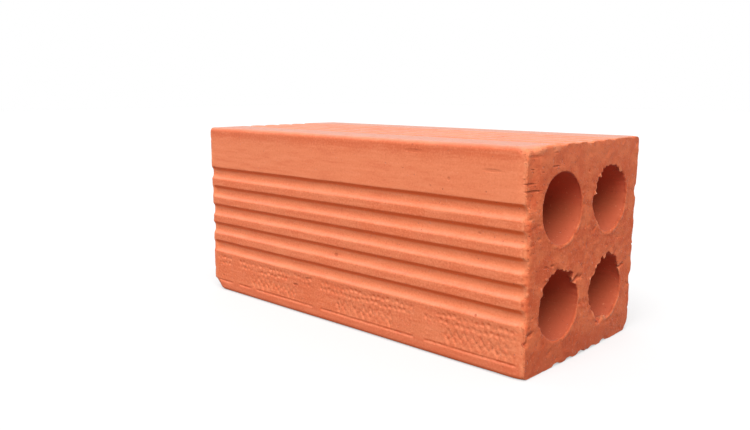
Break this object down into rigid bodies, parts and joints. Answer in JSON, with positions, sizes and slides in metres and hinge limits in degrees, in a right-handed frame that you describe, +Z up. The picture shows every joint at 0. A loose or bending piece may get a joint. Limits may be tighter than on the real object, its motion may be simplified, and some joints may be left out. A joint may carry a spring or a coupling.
{
  "type": "hollow clay brick",
  "caption": "Square extruded clay brick with round holes along its length, grooved long faces and wire-cut ends, for laying in mortar.",
  "frame": {"origin": "middle of the bed face, the long face that the brick lies on", "axes": "+X along the brick's length towards the near wire-cut end, +Y across its width, +Z up from the bed face"},
  "size_m": [0.18, 0.08, 0.08],
  "materials": {
    "fired_clay": "matte"
  },
  "bodies": {
    "root": {"brick": "fired_clay"}
  },
  "joints": []
}
